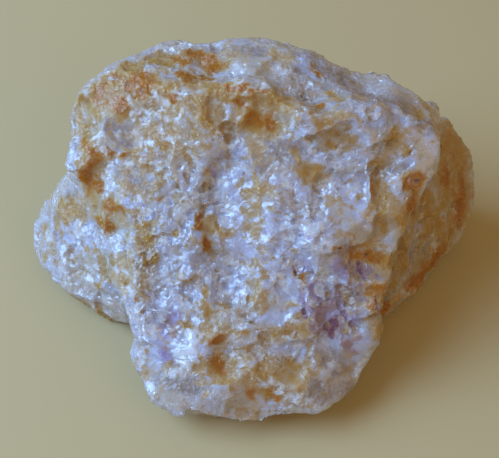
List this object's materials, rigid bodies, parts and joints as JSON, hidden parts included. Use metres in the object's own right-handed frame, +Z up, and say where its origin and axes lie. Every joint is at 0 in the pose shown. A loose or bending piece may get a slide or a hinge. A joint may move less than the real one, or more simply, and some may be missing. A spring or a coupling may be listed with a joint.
{
  "type": "rough golden healer quartz lump",
  "caption": "Rough broken lump of milky quartz with golden iron staining, fractured all over, with a flat broken foot to rest on.",
  "frame": {"origin": "middle of the flat foot's plane, under the middle of the stone's box", "axes": "+X to the stone's right seen from the sloping front, +Y to its back, +Z up"},
  "size_m": [0.0752, 0.0562, 0.0375],
  "materials": {
    "quartz": "milky, slightly see-through broken quartz with honey iron stain, glassy on its breaks"
  },
  "bodies": {
    "root": {"quartz": "quartz"}
  },
  "joints": []
}
